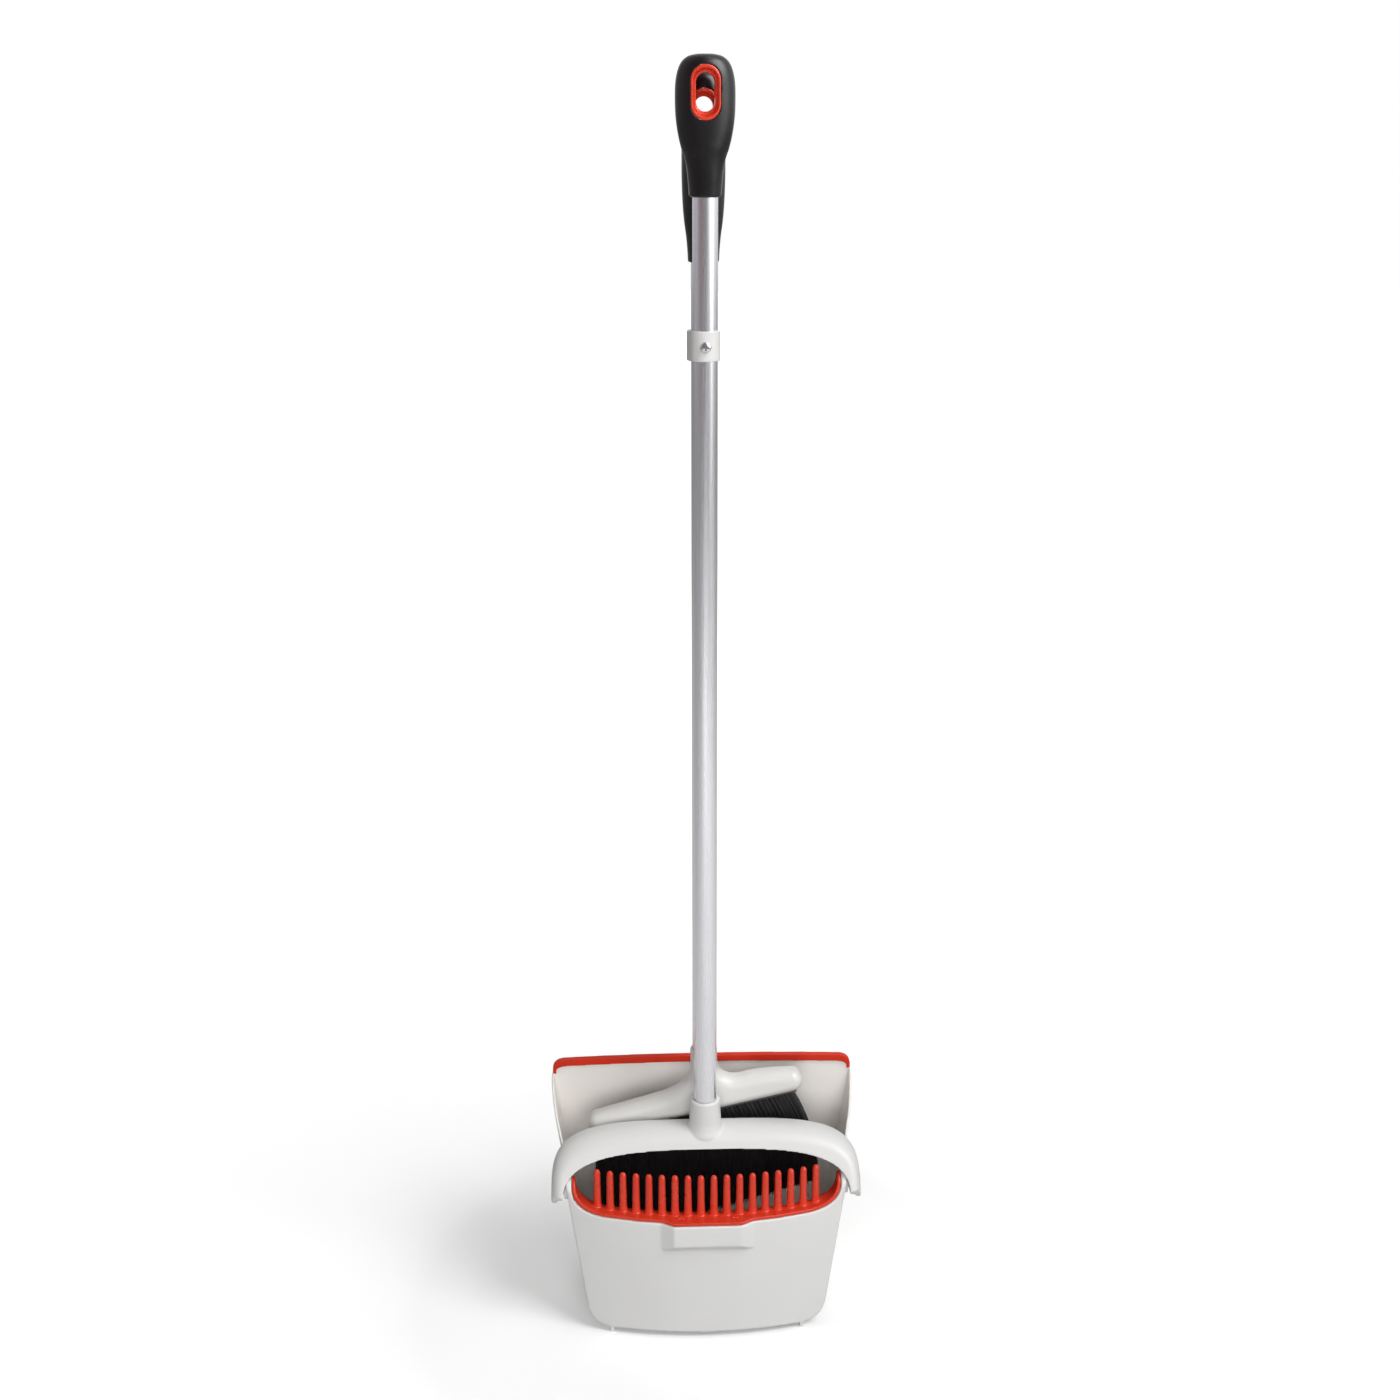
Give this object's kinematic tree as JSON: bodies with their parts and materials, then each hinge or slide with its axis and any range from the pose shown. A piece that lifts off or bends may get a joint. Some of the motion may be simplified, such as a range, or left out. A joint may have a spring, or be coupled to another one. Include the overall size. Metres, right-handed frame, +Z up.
{
  "type": "dust pan and brush set",
  "caption": "Upright long-handled hinged dust pan with a broom clipped behind it: deep bin, bristle-cleaning comb, swinging yoke and looped rubber grips.",
  "frame": {"origin": "centre of the bounding box at the floor the pan stands on", "axes": "+Z up along the two tubes; -Y is the front, where the hood, comb and yoke are; +X to the right seen from the front"},
  "size_m": [0.2618, 0.1304, 1.03],
  "materials": {
    "white_plastic": "moulded polypropylene, fine satin grain",
    "red_plastic": "moulded plastic, satin gloss",
    "red_rubber": "soft overmoulded edge, matte",
    "black_rubber": "soft-touch moulded grip, matte",
    "black_plastic": "moulded plastic, matte",
    "bristle": "flagged synthetic filament in flat rows",
    "aluminium_tube": "satin anodised, drawn along its length",
    "steel_screw": "zinc-plated, bright"
  },
  "bodies": {
    "handle": {"yoke": "white_plastic", "pivot_pin_left": "white_plastic", "pivot_pin_right": "white_plastic", "pan_tube": "aluminium_tube", "pan_tube_foot_plug": "black_plastic", "pan_tube_top_plug": "black_plastic", "socket_screw": "steel_screw", "clip": "white_plastic", "clip_screw": "steel_screw", "clip_insert": "steel_screw", "pan_grip": "black_rubber", "pan_grip_ring": "red_plastic"},
    "pan": {"pan_shell": "white_plastic", "pan_lip": "red_rubber", "comb": "red_plastic", "comb_stake_left": "red_plastic", "comb_stake_right": "red_plastic", "pivot_bush_left": "white_plastic", "pivot_bush_right": "white_plastic"},
    "broom": {"broom_tube": "aluminium_tube", "broom_tube_foot_plug": "black_plastic", "broom_tube_top_plug": "black_plastic", "neck_screw": "steel_screw", "broom_head": "white_plastic", "bristle_block": "black_plastic", "bristle_row_1": "bristle", "bristle_row_2": "bristle", "bristle_row_3": "bristle", "broom_grip": "black_rubber", "broom_grip_ring": "red_plastic"}
  },
  "joints": [
    {"name": "pan_hinge", "type": "hinge", "parent": "handle", "child": "pan", "pos_m": [0, -0.02895, 0.124], "axis": [1, 0, 0], "range_deg": [-90, 0], "deforming": ["bristle_row_1", "bristle_row_2", "bristle_row_3"]},
    {"name": "broom_lift", "type": "slide", "parent": "handle", "child": "broom", "axis": [0, 0, 1], "range_m": [0, 0.3]}
  ]
}
